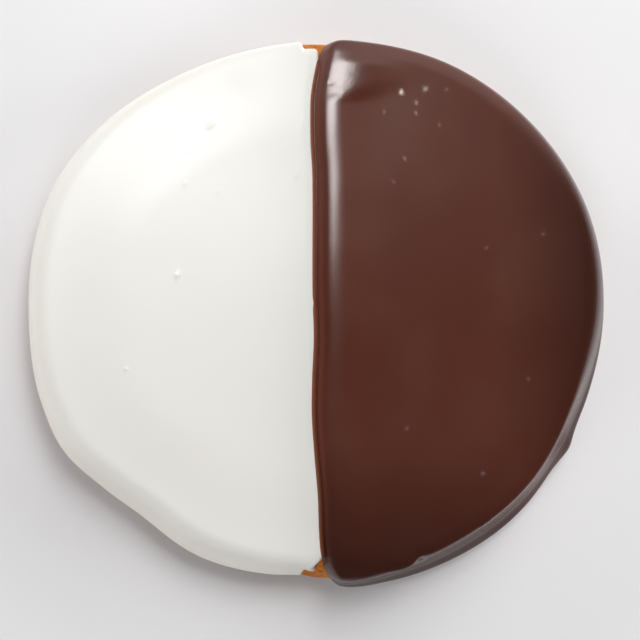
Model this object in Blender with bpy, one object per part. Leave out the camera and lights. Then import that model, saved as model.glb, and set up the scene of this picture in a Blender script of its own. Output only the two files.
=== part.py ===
"""A black and white cookie: a round drop cake, iced half in white fondant and half in dark chocolate.

It lies iced side up with its baked, domed side down, on a flat spot in the middle of the dome. +X runs from the
white half to the chocolate half, +Y runs along the seam, and the origin is on the table under the cookie's middle.

Everything is shaped first on an even, round cookie. Each half of the icing starts as a flat, round pancake. It is
spread out to a half circle in the "skin plane", where the distance from the middle is the walk along the cake's
skin: out over the top, round the rim and under it. Then it is draped over the cake. A last step gives cake and
icing together the real cookie's uneven outline.
"""

import math

import bmesh
import bpy
from mathutils import Vector

MM = 0.001

# The cake, on the even cookie
CAKE_RADIUS = 53.6 * MM
FLAT_SPOT_RADIUS = 24.0 * MM
RIM_HEIGHT = 8.2 * MM
SHOULDER_RADIUS = 49.0 * MM
SHOULDER_HEIGHT = 12.6 * MM
CROWN = 1.2 * MM
CAKE_STEPS = 96

# The cake's uneven outline, as (bearing in degrees from +X towards +Y, radius in mm)
OUTLINE = (
    (0, 54.6), (20, 55.1), (40, 54.8), (60, 54.1), (80, 52.6), (100, 52.2), (120, 53.0), (140, 54.9),
    (156, 55.8), (180, 54.7), (200, 54.8), (210, 54.6), (221, 52.3), (231, 50.9), (245, 51.5), (261, 50.8),
    (268, 50.5), (276, 52.6), (285, 53.1), (300, 54.0), (320, 54.8), (340, 54.3),
)

# How far the edge has slumped, as (bearing in degrees, share of the height lost at the rim)
SLUMP = ((20, 0.05), (85, 0.03), (135, 0.15), (190, 0.09), (235, 0.09), (270, 0.06), (320, 0.02))
SLUMP_START = 34.0 * MM

# How far the side is pulled in halfway up, as (bearing in degrees, distance in mm). Where it is pulled in much, the
# rounded side becomes a straight slope.
LEAN = ((10, 0.0), (60, 0.3), (110, 0.4), (150, 0.2), (195, 0.4), (240, 0.8), (272, 0.7), (300, 1.7), (332, 1.4))
LEAN_TOP = 14.6 * MM
LEAN_START = 42.0 * MM
LEAN_FULL = 50.0 * MM
LEAN_EASE = 0.3

# How far the side has sunk at its widest place, as (bearing in degrees, share of its height)
SAG = (
    (0, 0.0), (30, 0.0), (120, 0.0), (200, 0.0), (255, 0.05), (272, 0.25), (290, 0.5), (325, 0.55), (342, 0.3),
)

# How far the shoulder is pushed out towards the rim, which squares it, as (bearing in degrees, distance in mm)
SQUARE = (
    (0, 1.3), (15, 1.9), (60, 1.9), (90, 2.0), (140, 1.4), (185, 1.0), (215, 0.3), (245, 0.2), (262, 1.0),
    (274, 1.8), (284, 1.5), (294, 0.3), (330, 0.0), (345, 0.3),
)
SQUARE_START = 43.0 * MM
SQUARE_FULL = 51.0 * MM
SQUARE_END = 56.0 * MM

# The share of that push that the cake and the icing's underside take, which keeps them clear of each other
CAKE_SQUARED = 0.5
UNDER_SQUARED = 0.72

# The icing. Thickness is counted from the cake's skin, and clearance keeps each piece just off its neighbour. It
# grows by this power of what the side keeps of its height, since sinking closes the gap.
CLEARANCE = 0.3 * MM
SUNK_POWER = 1.5
WHITE_THICKNESS = 1.6 * MM
CHOCOLATE_THICKNESS = 2.3 * MM
LIP_WIDTH = 2.2 * MM
LIP_RUN = 1.5 * MM
LIP_WAVES = ((3, 0.45 * MM, 1.0), (7, 0.35 * MM, 2.2), (13, 0.2 * MM, 0.0))

# How each half rises from the seam, as (depth inside its edge in mm, share of its thickness)
WHITE_RISE = ((0, 0), (0.1, 0.3), (0.4, 0.65), (0.9, 0.9), (1.6, 0.98), (2.4, 1.0))
CHOCOLATE_RISE = (
    (0, 0), (0.06, 0.13), (0.3, 0.23), (0.8, 0.37), (1.4, 0.54), (2.6, 0.82), (3.2, 0.9), (4.6, 0.965),
    (6.4, 1.0),
)

# The chocolate's edge along the seam, as (place along Y in mm, place along X in mm)
SEAM = (
    (-60, 2.6), (-54, 2.5), (-51, 2.0), (-47, 1.1), (-38, 0.7), (-30, 0.0), (-22, -0.5), (-15, -0.4),
    (-7, -0.1), (2, -0.35), (25, -0.4), (33, -0.8), (41, -0.8), (45, -0.3), (49, 0.8), (53, 2.4), (60, 3.2),
)

# The white icing runs in under the chocolate, but at the seam's two ends it stops short and bares the cake. There
# its lower edge is drawn back too: by how much, up to how far from the seam, and where that ends. Each pair is for
# the ends towards +Y and -Y. Beside the seam it banks up a little.
LAP = 0.9 * MM
BARE_START = (46.0 * MM, 49.4 * MM)
BARE_REACH = (6.0 * MM, 3.6 * MM)
BARE_WIDTH = (1.1 * MM, 2.1 * MM)
DRAWN_BACK = (7.1 * MM, 4.0 * MM)
DRAWN_FULL = (2.6 * MM, 2.2 * MM)
DRAWN_WIDTH = (6.2 * MM, 3.9 * MM)
BANK = 0.15 * MM
BANK_SPREAD = 3.2 * MM

# The chocolate's swells over its plain thickness: a ridge beside the seam, which turns inland at the end towards
# +Y; a bead on the rim's shoulder, with two notches and a groove below it; and a drip under the rim. Pairs of ridge
# sizes are for the length of the seam and for its end. Bearings and turns are in degrees.
RIDGE = (0.5 * MM, 0.72 * MM)
RIDGE_INSET = (5.6 * MM, 9.6 * MM)
RIDGE_SPREAD = (4.0 * MM, 5.6 * MM)
RIDGE_TURN = (39.5 * MM, 44.0 * MM)
RIDGE_END = 47.4 * MM
RIDGE_FADE = 3.4 * MM
RIM_BEAD = 0.17 * MM
RIM_BEAD_PLACE = 1.6 * MM
RIM_BEAD_SPREAD = 1.3 * MM
GROOVE = 0.15 * MM
GROOVE_PLACE = 3.9 * MM
GROOVE_SPREAD = 1.1 * MM
RIM_BEAD_RISES = (275, 12)
RIM_BEAD_FADES = (335, 25)
NOTCHES = ((292.5, 1.6, 0.9), (284, 3.0, 0.6))
DRIP_BEARING = 331.5
DRIP = 1.1 * MM
DRIP_TURN = 2.7
DRIP_PLACE = 1.3 * MM
DRIP_RUN = 1.7 * MM

# The flat pancake that each half of the icing starts as. Its rim band keeps its width when it is spread over a
# half, and the disc inside the band stretches to fill the rest. The mesh's rings on its upper and its lower side
# are given in mm, as depths inside the rim and as radii on the disc.
PANCAKE_RADIUS = 30.0 * MM
PANCAKE_BAND = 9.5 * MM
PANCAKE_STEPS = 96
UPPER_DEPTHS = (0.12, 0.5, 1.4, 2.5, 3.4, 4.6, 6.2, 7.8, 9.5)
LOWER_DEPTHS = (0.85, 1.3, 2.4, 3.5, 4.5, 5.5, 6.6, 7.9, 9.5)
INNER_RADII = (13.7, 7.0)
HALF_MIDDLE = 27.0 * MM
CROWDING = 0.8


def smooth(x):
    """0 below 0, 1 above 1, and a smooth rise between."""
    x = min(max(x, 0.0), 1.0)
    return x * x * (3 - 2 * x)


def swell(x, middle, spread):
    """A bump of height 1 at middle, which fades over spread to each side."""
    return math.exp(-(((x - middle) / spread) ** 2))


def curve(points, at, period=None):
    """A smooth curve through (place, value) points, read at one place. With a period it goes round."""
    if period:
        at = (at - points[0][0]) % period + points[0][0]
        before = (points[-1][0] - period, points[-1][1])
        after = [(place + period, value) for place, value in points[:2]]
    else:
        at = min(max(at, points[0][0]), points[-1][0])
        before = (2 * points[0][0] - points[1][0], points[0][1])
        after = [(2 * points[-1][0] - points[-2][0], points[-1][1])]
    points = [before, *points, *after]
    i = 1
    while i < len(points) - 3 and at > points[i + 1][0]:
        i += 1
    (x0, y0), (x1, y1), (x2, y2), (x3, y3) = points[i - 1:i + 3]
    t = (at - x1) / (x2 - x1)
    rise_in = (y2 - y0) / (x2 - x0) * (x2 - x1)
    rise_out = (y3 - y1) / (x3 - x1) * (x2 - x1)
    bend = 3 * t**2 - 2 * t**3
    return y1 + (y2 - y1) * bend + (t**3 - 2 * t**2 + t) * rise_in + (t**3 - t**2) * rise_out


def on_top(radius):
    """(radius, height, normal out, normal up) on the cake's crowned top."""
    turn = math.pi * radius / SHOULDER_RADIUS
    fall = CROWN / 2 * math.pi / SHOULDER_RADIUS * math.sin(turn)
    return radius, SHOULDER_HEIGHT + CROWN * (1 + math.cos(turn)) / 2, *Vector((fall, 1)).normalized()


def on_rim(degrees):
    """The same on the rim, from the shoulder at 0 degrees out to the widest place at 90."""
    turn = math.radians(degrees)
    out, rise = CAKE_RADIUS - SHOULDER_RADIUS, SHOULDER_HEIGHT - RIM_HEIGHT
    normal = Vector((rise * math.sin(turn), out * math.cos(turn))).normalized()
    return SHOULDER_RADIUS + out * math.sin(turn), RIM_HEIGHT + rise * math.cos(turn), *normal


def on_dome(degrees):
    """The same on the baked underside, from the widest place at 0 degrees in to the flat spot at 90."""
    turn = math.radians(degrees)
    out = CAKE_RADIUS - FLAT_SPOT_RADIUS
    normal = Vector((RIM_HEIGHT * math.cos(turn), -out * math.sin(turn))).normalized()
    return FLAT_SPOT_RADIUS + out * math.cos(turn), RIM_HEIGHT * (1 - math.sin(turn)), *normal


# The skin in short steps, from the middle of the top to well under the rim, and the walk to each of its points
TOP_SKIN = [on_top(SHOULDER_RADIUS * step / 40) for step in range(40)]
RIM_SKIN = [on_rim(degrees) for degrees in range(0, 90, 3)]
SKIN = TOP_SKIN + RIM_SKIN + [on_dome(degrees) for degrees in range(0, 60, 3)]
WALKS = [0.0]
for here, there in zip(SKIN, SKIN[1:]):
    WALKS.append(WALKS[-1] + math.dist(here[:2], there[:2]))
SHOULDER_WALK = WALKS[len(TOP_SKIN)]
RIM_WALK = WALKS[len(TOP_SKIN) + len(RIM_SKIN)]


def drape(place, height):
    """Takes a place in the skin plane, and a height over the skin, to a point on the even cookie."""
    i = 0
    while i < len(SKIN) - 2 and place.length > WALKS[i + 1]:
        i += 1
    share = (place.length - WALKS[i]) / (WALKS[i + 1] - WALKS[i])
    radius, level, out, up = (a + (b - a) * share for a, b in zip(SKIN[i], SKIN[i + 1]))
    across = place.normalized() * (radius + height * out)
    return Vector((across.x, across.y, level + height * up))


def settle(point, share=1.0):
    """Moves a point of the even cookie to its place on the uneven one, squared by a share."""
    radius = point.xy.length
    bearing = math.degrees(math.atan2(point.y, point.x))
    near_rim = smooth((radius - SLUMP_START) / (CAKE_RADIUS - SLUMP_START))
    sink = 1 - curve(SLUMP, bearing, 360) * near_rim
    rise = min(max((point.z - RIM_HEIGHT) / (LEAN_TOP - RIM_HEIGHT), 0.0), 1.0)
    beside = smooth((radius - LEAN_START) / (LEAN_FULL - LEAN_START))
    sink *= 1 - curve(SAG, bearing, 360) * beside * (1 - smooth(rise))
    pulled = curve(LEAN, bearing, 360) * MM * 4 * rise * (1 - rise) * beside
    squared = smooth((radius - SQUARE_START) / (SQUARE_FULL - SQUARE_START))
    squared *= 1 - smooth((radius - SQUARE_FULL) / (SQUARE_END - SQUARE_FULL))
    pulled = (pulled - share * curve(SQUARE, bearing, 360) * MM * squared) * smooth(rise / LEAN_EASE)
    grow = curve(OUTLINE, bearing, 360) * MM / CAKE_RADIUS
    grow *= (radius - pulled) / max(radius, MM)
    return Vector((point.x * grow, point.y * grow, point.z * sink))


def turned(place, bearing, spread):
    """A bump of height 1 on one bearing, which fades over spread to each side, in degrees."""
    turn = math.degrees(math.atan2(place.y, place.x))
    return swell((turn - bearing + 180) % 360, 180, spread)


class WhiteIcing:
    """The half towards -X, as a patch of the skin plane with a thickness.

    corners are the radii of its corners at the seam's ends towards +Y and -Y. seam_rise is how it rises from the
    seam.
    """

    side = -1
    middle = Vector((-HALF_MIDDLE, 0))
    seam_rise = WHITE_RISE
    corners = (0.9 * MM, 1.2 * MM)

    def from_seam(self, place):
        """How far inside its seam edge a place lies; negative is outside."""
        end = 0 if place.y > 0 else 1
        bare = smooth((abs(place.y) - BARE_START[end]) / BARE_REACH[end])
        return curve(SEAM, place.y / MM) * MM - place.x + LAP - (LAP + BARE_WIDTH[end]) * bare

    def from_lip(self, place):
        """How far inside its lower edge a place lies; negative is outside. It is drawn back at the seam's ends."""
        end = 0 if place.y > 0 else 1
        short = smooth((DRAWN_WIDTH[end] - self.from_seam(place)) / (DRAWN_WIDTH[end] - DRAWN_FULL[end]))
        return lip_depth(place) - DRAWN_BACK[end] * short

    def depth(self, place):
        """How far inside its whole edge a place lies, with the corners rounded."""
        corner = self.corners[0] if place.y > 0 else self.corners[1]
        from_seam, from_lip = self.from_seam(place), self.from_lip(place)
        if from_seam < corner and from_lip < corner:
            return corner - math.hypot(corner - from_seam, corner - from_lip)
        return min(from_seam, from_lip)

    def fullness(self, place, grown=0.0):
        """The rounded edge of poured icing: 0 at its very edge and 1 where it is fully thick."""
        from_seam, from_lip = max(self.from_seam(place), 0.0), max(self.from_lip(place), 0.0)
        lip_part = from_seam / (from_seam + from_lip + 0.01 * MM)
        depth = max(self.depth(place) + grown, 0.0)
        by_lip = math.sqrt(1 - (1 - min(depth / LIP_WIDTH, 1.0)) ** 2)
        by_seam = curve(self.seam_rise, depth / MM)
        return by_seam + (by_lip - by_seam) * smooth(lip_part)

    def plain_upper(self, place):
        """Its upper side away from its edges, with the bank beside the seam."""
        return WHITE_THICKNESS + BANK * swell(self.from_seam(place), LAP, BANK_SPREAD)

    def upper(self, place, grown=0.0):
        """The height of its upper side over the cake's skin."""
        lower = self.lower(place)
        return lower + (self.plain_upper(place) - lower) * self.fullness(place, grown)

    def lower(self, place):
        """The height of its underside over the cake's skin, more where the side will sink."""
        kept = 1 - curve(SAG, math.degrees(math.atan2(place.y, place.x)), 360)
        return CLEARANCE / kept**SUNK_POWER

    def edge(self, share):
        """The place this share of the way round an even half's edge: round its arc, then back along the seam."""
        arc_share = math.pi / (math.pi + 2)
        if share < arc_share:
            turn = math.pi * (crowded(share / arc_share) - 0.5)
            return Vector((self.side * math.cos(turn), math.sin(turn))) * RIM_WALK
        return Vector((0, RIM_WALK * (1 - 2 * crowded((share - arc_share) / (1 - arc_share)))))

    def spread(self, flat):
        """Takes a point of the flat pancake to its place in the skin plane."""
        share = math.atan2(flat.y, flat.x) / math.tau % 1.0
        ahead = (self.edge(share) - self.middle).normalized()
        depth = min(PANCAKE_RADIUS - flat.xy.length, PANCAKE_BAND)
        near, far = 0.0, 1.5 * RIM_WALK
        for _ in range(26):
            trial = (near + far) / 2
            if self.depth(self.middle + ahead * trial) > depth:
                near = trial
            else:
                far = trial
        stretch = min(flat.xy.length / (PANCAKE_RADIUS - PANCAKE_BAND), 1.0)
        return self.middle + ahead * near * stretch

    def body(self):
        """The icing's closed mesh, spread and draped from the pancake."""
        upper = [(radius, 1) for radius in (0.0, *reversed(INNER_RADII))]
        upper += [(PANCAKE_RADIUS / MM - depth, 1) for depth in reversed(UPPER_DEPTHS)]
        lower = [(PANCAKE_RADIUS / MM - depth, -1) for depth in LOWER_DEPTHS]
        lower += [(radius, -1) for radius in (*INNER_RADII, 0.0)]
        section = [(radius * MM, side * MM) for radius, side in (*upper, (PANCAKE_RADIUS / MM, 0), *lower)]
        body = turned_body(section, PANCAKE_STEPS)
        for vertex in body.verts:
            place = self.spread(vertex.co)
            over = vertex.co.z > 0.5 * MM
            under = vertex.co.z < -0.5 * MM
            draped = drape(place, self.upper(place) if over else self.lower(place))
            vertex.co = settle(draped, UNDER_SQUARED if under else 1.0)
        if self.side < 0:
            bmesh.ops.reverse_faces(body, faces=body.faces)
        return body


class ChocolateIcing(WhiteIcing):
    """The half towards +X. Along the seam it lies over the white icing's edge."""

    side = 1
    middle = Vector((HALF_MIDDLE, 0))
    seam_rise = CHOCOLATE_RISE
    corners = (5.6 * MM, 2.9 * MM)

    def __init__(self, white):
        self.white = white

    def from_seam(self, place):
        """How far inside its seam edge a place lies; negative is outside."""
        return place.x - curve(SEAM, place.y / MM) * MM

    def from_lip(self, place):
        """How far inside its lower edge a place lies, which hangs down where a drip has run."""
        return lip_depth(place) + DRIP_RUN * turned(place, DRIP_BEARING, 1.3 * DRIP_TURN)

    def north_end(self, place):
        """How far a place is into the seam's end towards +Y, from 0 to 1."""
        return smooth((place.y - RIDGE_TURN[0]) / (RIDGE_TURN[1] - RIDGE_TURN[0]))

    def plain_upper(self, place):
        """Its upper side away from its edges, with the ridge by the seam, the rim's bead and groove, and the drip."""
        end = self.north_end(place)
        high, inset, spread = (a + (b - a) * end for a, b in (RIDGE, RIDGE_INSET, RIDGE_SPREAD))
        ridge = high * swell(self.from_seam(place), inset, spread)
        ridge *= 1 - smooth((place.length - RIDGE_END) / RIDGE_FADE)
        bearing = math.degrees(math.atan2(place.y, place.x)) % 360
        full = smooth((bearing - RIM_BEAD_RISES[0]) / RIM_BEAD_RISES[1])
        full *= 1 - smooth((bearing - RIM_BEAD_FADES[0]) / RIM_BEAD_FADES[1])
        full -= sum(deep * turned(place, at, spread) for at, spread, deep in NOTCHES)
        full = max(full, 0.0)
        bead = full * swell(place.length, SHOULDER_WALK + RIM_BEAD_PLACE, RIM_BEAD_SPREAD)
        groove = full * swell(place.length, SHOULDER_WALK + GROOVE_PLACE, GROOVE_SPREAD)
        drip = turned(place, DRIP_BEARING, DRIP_TURN) * swell(place.length, RIM_WALK + DRIP_PLACE, DRIP_PLACE)
        return CHOCOLATE_THICKNESS + ridge + RIM_BEAD * bead - GROOVE * groove + DRIP * drip

    def lower(self, place):
        """The height of its underside, which steps up over the white icing's edge."""
        if self.white.depth(place) < -CLEARANCE:
            return super().lower(place)
        return self.white.upper(place, grown=CLEARANCE) + CLEARANCE


def lip_depth(place):
    """How far inside the wandering line of the icing's lower edge a place lies."""
    turn = math.atan2(place.y, place.x)
    wander = sum(size * math.sin(waves * turn + start) for waves, size, start in LIP_WAVES)
    return RIM_WALK + LIP_RUN + wander - place.length


def crowded(share):
    """Evenly spaced shares from 0 to 1, drawn together towards both ends."""
    return share - CROWDING * math.sin(math.tau * share) / math.tau


def turned_body(section, steps):
    """A closed body, turned round Z from a section of (radius, height) that starts and ends on the axis."""
    body = bmesh.new()
    line = [body.verts.new((radius, 0, height)) for radius, height in section]
    edges = [body.edges.new(pair) for pair in zip(line, line[1:])]
    bmesh.ops.spin(body, geom=line + edges, axis=(0, 0, 1), angle=math.tau, steps=steps, use_merge=True)
    bmesh.ops.remove_doubles(body, verts=body.verts, dist=0.001 * MM)
    bmesh.ops.recalc_face_normals(body, faces=body.faces)
    return body


def cake_body():
    """The cake's closed mesh."""
    section = [on_top(SHOULDER_RADIUS * share)[:2] for share in (0, 0.3, 0.6, 0.85, 0.91, 0.96)]
    section += [on_rim(degrees)[:2] for degrees in range(0, 90, 10)]
    section += [on_dome(degrees)[:2] for degrees in range(0, 91, 15)]
    body = turned_body([*section, (0, 0)], CAKE_STEPS)
    for vertex in body.verts:
        vertex.co = settle(vertex.co, CAKE_SQUARED)
    return body


def material(name, colour, roughness):
    """A plain opaque material."""
    made = bpy.data.materials.new(name)
    made.use_nodes = True
    shader = made.node_tree.nodes["Principled BSDF"]
    shader.inputs["Base Color"].default_value = (*colour, 1.0)
    shader.inputs["Roughness"].default_value = roughness
    shader.inputs["Metallic"].default_value = 0.0
    return made


def finish(name, body, finish_material):
    """Turns a body into a smooth-shaded object with one material."""
    mesh = bpy.data.meshes.new(name)
    body.to_mesh(mesh)
    body.free()
    mesh.shade_smooth()
    mesh.set_sharp_from_angle(angle=math.radians(50))
    mesh.materials.append(finish_material)
    made = bpy.data.objects.new(name, mesh)
    bpy.context.scene.collection.objects.link(made)
    return made


def centre(made):
    """Moves the cookie so that the origin is under the middle of its outline."""
    points = [vertex.co for one in made for vertex in one.data.vertices]
    for axis in (0, 1):
        values = [point[axis] for point in points]
        middle = (min(values) + max(values)) / 2
        for point in points:
            point[axis] -= middle


for old in list(bpy.data.objects):
    bpy.data.objects.remove(old)

white = WhiteIcing()
pieces = [
    finish("cake_base", cake_body(), material("golden_crumb", (0.57, 0.16, 0.03), 0.9)),
    finish("white_icing", white.body(), material("white_fondant", (0.8, 0.79, 0.75), 0.35)),
    finish("chocolate_icing", ChocolateIcing(white).body(), material("dark_chocolate", (0.09, 0.03, 0.02), 0.2)),
]
centre(pieces)
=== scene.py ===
"""A black and white cookie on a pale floor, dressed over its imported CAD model.

Everything is shaped first on an even, round cookie. Each half of the icing starts as a flat, round pancake,
which is spread to a half circle in the skin plane: there the distance from the middle is the walk along the
cake's skin, out over the top, round the rim and under it. The half is then draped over the cake, and a last
step gives cake and icing together the real cookie's uneven outline. +X runs from white to chocolate, and +Y
runs along the seam, in metres.
"""

from __future__ import annotations

import logging
import math
from dataclasses import dataclass, field
from enum import Enum

import bmesh
import bpy
import numpy as np
from mathutils import Matrix, Vector, noise


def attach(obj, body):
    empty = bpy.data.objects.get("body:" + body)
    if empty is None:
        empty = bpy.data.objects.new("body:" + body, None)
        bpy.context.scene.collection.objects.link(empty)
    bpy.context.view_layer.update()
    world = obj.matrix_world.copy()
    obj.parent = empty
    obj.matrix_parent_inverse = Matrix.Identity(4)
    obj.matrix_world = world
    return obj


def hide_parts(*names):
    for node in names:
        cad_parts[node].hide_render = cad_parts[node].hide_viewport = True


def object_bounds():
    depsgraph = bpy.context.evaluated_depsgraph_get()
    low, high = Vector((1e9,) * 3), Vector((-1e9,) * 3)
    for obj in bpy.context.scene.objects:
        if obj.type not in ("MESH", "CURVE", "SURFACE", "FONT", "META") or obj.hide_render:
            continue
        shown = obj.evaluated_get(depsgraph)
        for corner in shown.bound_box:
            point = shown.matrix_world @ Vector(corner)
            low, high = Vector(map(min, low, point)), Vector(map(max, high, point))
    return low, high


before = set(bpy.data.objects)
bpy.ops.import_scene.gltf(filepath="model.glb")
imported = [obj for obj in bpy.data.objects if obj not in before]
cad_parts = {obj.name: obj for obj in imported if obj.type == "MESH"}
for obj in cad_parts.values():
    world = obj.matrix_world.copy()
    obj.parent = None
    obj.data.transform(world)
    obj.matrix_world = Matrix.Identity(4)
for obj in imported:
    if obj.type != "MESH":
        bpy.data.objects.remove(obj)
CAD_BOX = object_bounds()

MM = 0.001
PANCAKE_HEIGHT = 1.0 * MM
HAIR = 0.01 * MM
LOG = logging.getLogger("cookie")
Array = np.ndarray
Colour = tuple[float, float, float]
Points = tuple[tuple[float, float], ...]


def smooth(values: Array) -> Array:
    """0 below 0, 1 above 1, and a smooth rise between."""
    held = np.clip(values, 0.0, 1.0)
    return held * held * (3 - 2 * held)


def ramp(values: Array, start: float | Array, full: float | Array) -> Array:
    """A smooth rise from 0 at start to 1 at full, which may lie to either side of it."""
    return smooth((values - start) / (full - start))


def swell(values: Array, middle: float, spread: float) -> Array:
    """A bump of height 1 at middle, which fades over spread to each side."""
    return np.exp(-(((values - middle) / spread) ** 2))


def bearings(places: Array) -> Array:
    """Each place's bearing in degrees from +X towards +Y, from -180 to 180."""
    return np.degrees(np.arctan2(places[:, 1], places[:, 0]))


def lengths(places: Array) -> Array:
    """Each place's distance from the middle."""
    return np.hypot(places[:, 0], places[:, 1])


def by_end(places: Array, pair: tuple[float, float]) -> Array:
    """The first of a pair at places towards +Y, and the second at places towards -Y."""
    return np.where(places[:, 1] > 0, *pair)


def turned(places: Array, bearing: float, spread: float) -> Array:
    """A bump of height 1 on one bearing.

    Args:
        places: Places in the skin plane.
        bearing: Where the bump is, in degrees.
        spread: How far it fades to each side, in degrees.

    Returns:
        The bump's height at each place.
    """
    return swell((bearings(places) - bearing + 180) % 360, 180, spread)


def waviness(points: Array, size: float, seed: float, octaves: int = 3) -> Array:
    """Soft, irregular waves.

    Args:
        points: Points in two or three dimensions.
        size: About how far apart the crests lie.
        seed: Moves the pattern, so that no two patterns are alike.
        octaves: How many finer layers of waves lie on the first.

    Returns:
        A value of about -1 to 1 at each point.
    """
    steady = np.zeros((len(points), 3))
    steady[:, :points.shape[1]] = points / size
    steady[:, 2] += seed
    return np.array([noise.fractal(one, 1.0, 2.0, octaves) for one in steady.tolist()])


@dataclass(frozen=True)
class SmoothCurve:
    """A smooth curve through given points; with a period it goes round."""

    points: Points
    period: float = 0.0

    def at(self, where: Array) -> Array:
        """Reads the curve.

        Args:
            where: Places along it.

        Returns:
            The curve's value at each of them.
        """
        places = np.array([place for place, _ in self.points])
        values = np.array([value for _, value in self.points])
        if self.period:
            where = (where - places[0]) % self.period + places[0]
            places = np.concatenate((places[-1:] - self.period, places, places[:2] + self.period))
            values = np.concatenate((values[-1:], values, values[:2]))
        else:
            where = np.clip(where, places[0], places[-1])
            places = np.concatenate(([2 * places[0] - places[1]], places, [2 * places[-1] - places[-2]]))
            values = np.concatenate((values[:1], values, values[-1:]))
        i = np.clip(np.searchsorted(places, where) - 1, 1, len(places) - 3)
        gap = places[i + 1] - places[i]
        t = (where - places[i]) / gap
        rise_in = (values[i + 1] - values[i - 1]) / (places[i + 1] - places[i - 1]) * gap
        rise_out = (values[i + 2] - values[i]) / (places[i + 2] - places[i]) * gap
        bend = 3 * t**2 - 2 * t**3
        tails = (t**3 - 2 * t**2 + t) * rise_in + (t**3 - t**2) * rise_out
        return values[i] + (values[i + 1] - values[i]) * bend + tails


@dataclass(frozen=True)
class Blemish:
    """One small rise or dent in an icing, as an oval swell in the skin plane.

    Attributes:
        x: Its place in mm.
        y: Its place in mm.
        rise: Its height in mm; a dent is negative.
        along: Its half length in mm.
        across: Its half width in mm.
        turn: The bearing of its long side in degrees.
        pale: How strongly a painted glint lightens it, from 0 to 1.
    """

    x: float
    y: float
    rise: float
    along: float
    across: float
    turn: float = 0.0
    pale: float = 0.0

    def heights(self, places: Array) -> Array:
        """Its height at each place, in metres."""
        return self.rise * MM * self.share(places)

    def share(self, places: Array) -> Array:
        """How much of its full height it has at each place, from 0 to 1."""
        turn = math.radians(self.turn)
        dx, dy = places[:, 0] - self.x * MM, places[:, 1] - self.y * MM
        along = (dx * math.cos(turn) + dy * math.sin(turn)) / (self.along * MM)
        across = (dy * math.cos(turn) - dx * math.sin(turn)) / (self.across * MM)
        return np.exp(-(along**2) - across**2)

    def covers(self, places: Array) -> Array:
        """Whether each place lies on it or close beside it."""
        reach = 2.2 * max(self.along, self.across) * MM
        return np.hypot(places[:, 0] - self.x * MM, places[:, 1] - self.y * MM) < reach


@dataclass(frozen=True)
class Wrinkles:
    """A patch of fine wrinkles, as an oval in the skin plane with all its sizes in mm."""

    x: float
    y: float
    half_width: float
    half_length: float
    rise: float
    size: float

    def share(self, places: Array) -> Array:
        """How strongly each place is wrinkled, from 0 to 1."""
        dx, dy = places[:, 0] / MM - self.x, places[:, 1] / MM - self.y
        return 1 - smooth(np.hypot(dx / self.half_width, dy / self.half_length))

    def heights(self, places: Array) -> Array:
        """Their height at each place, in metres."""
        return self.share(places) * self.rise * MM * waviness(places, self.size * MM, 21.0, 2)

    def covers(self, places: Array) -> Array:
        """Whether each place is wrinkled enough to show."""
        return self.share(places) > 0.1


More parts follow.
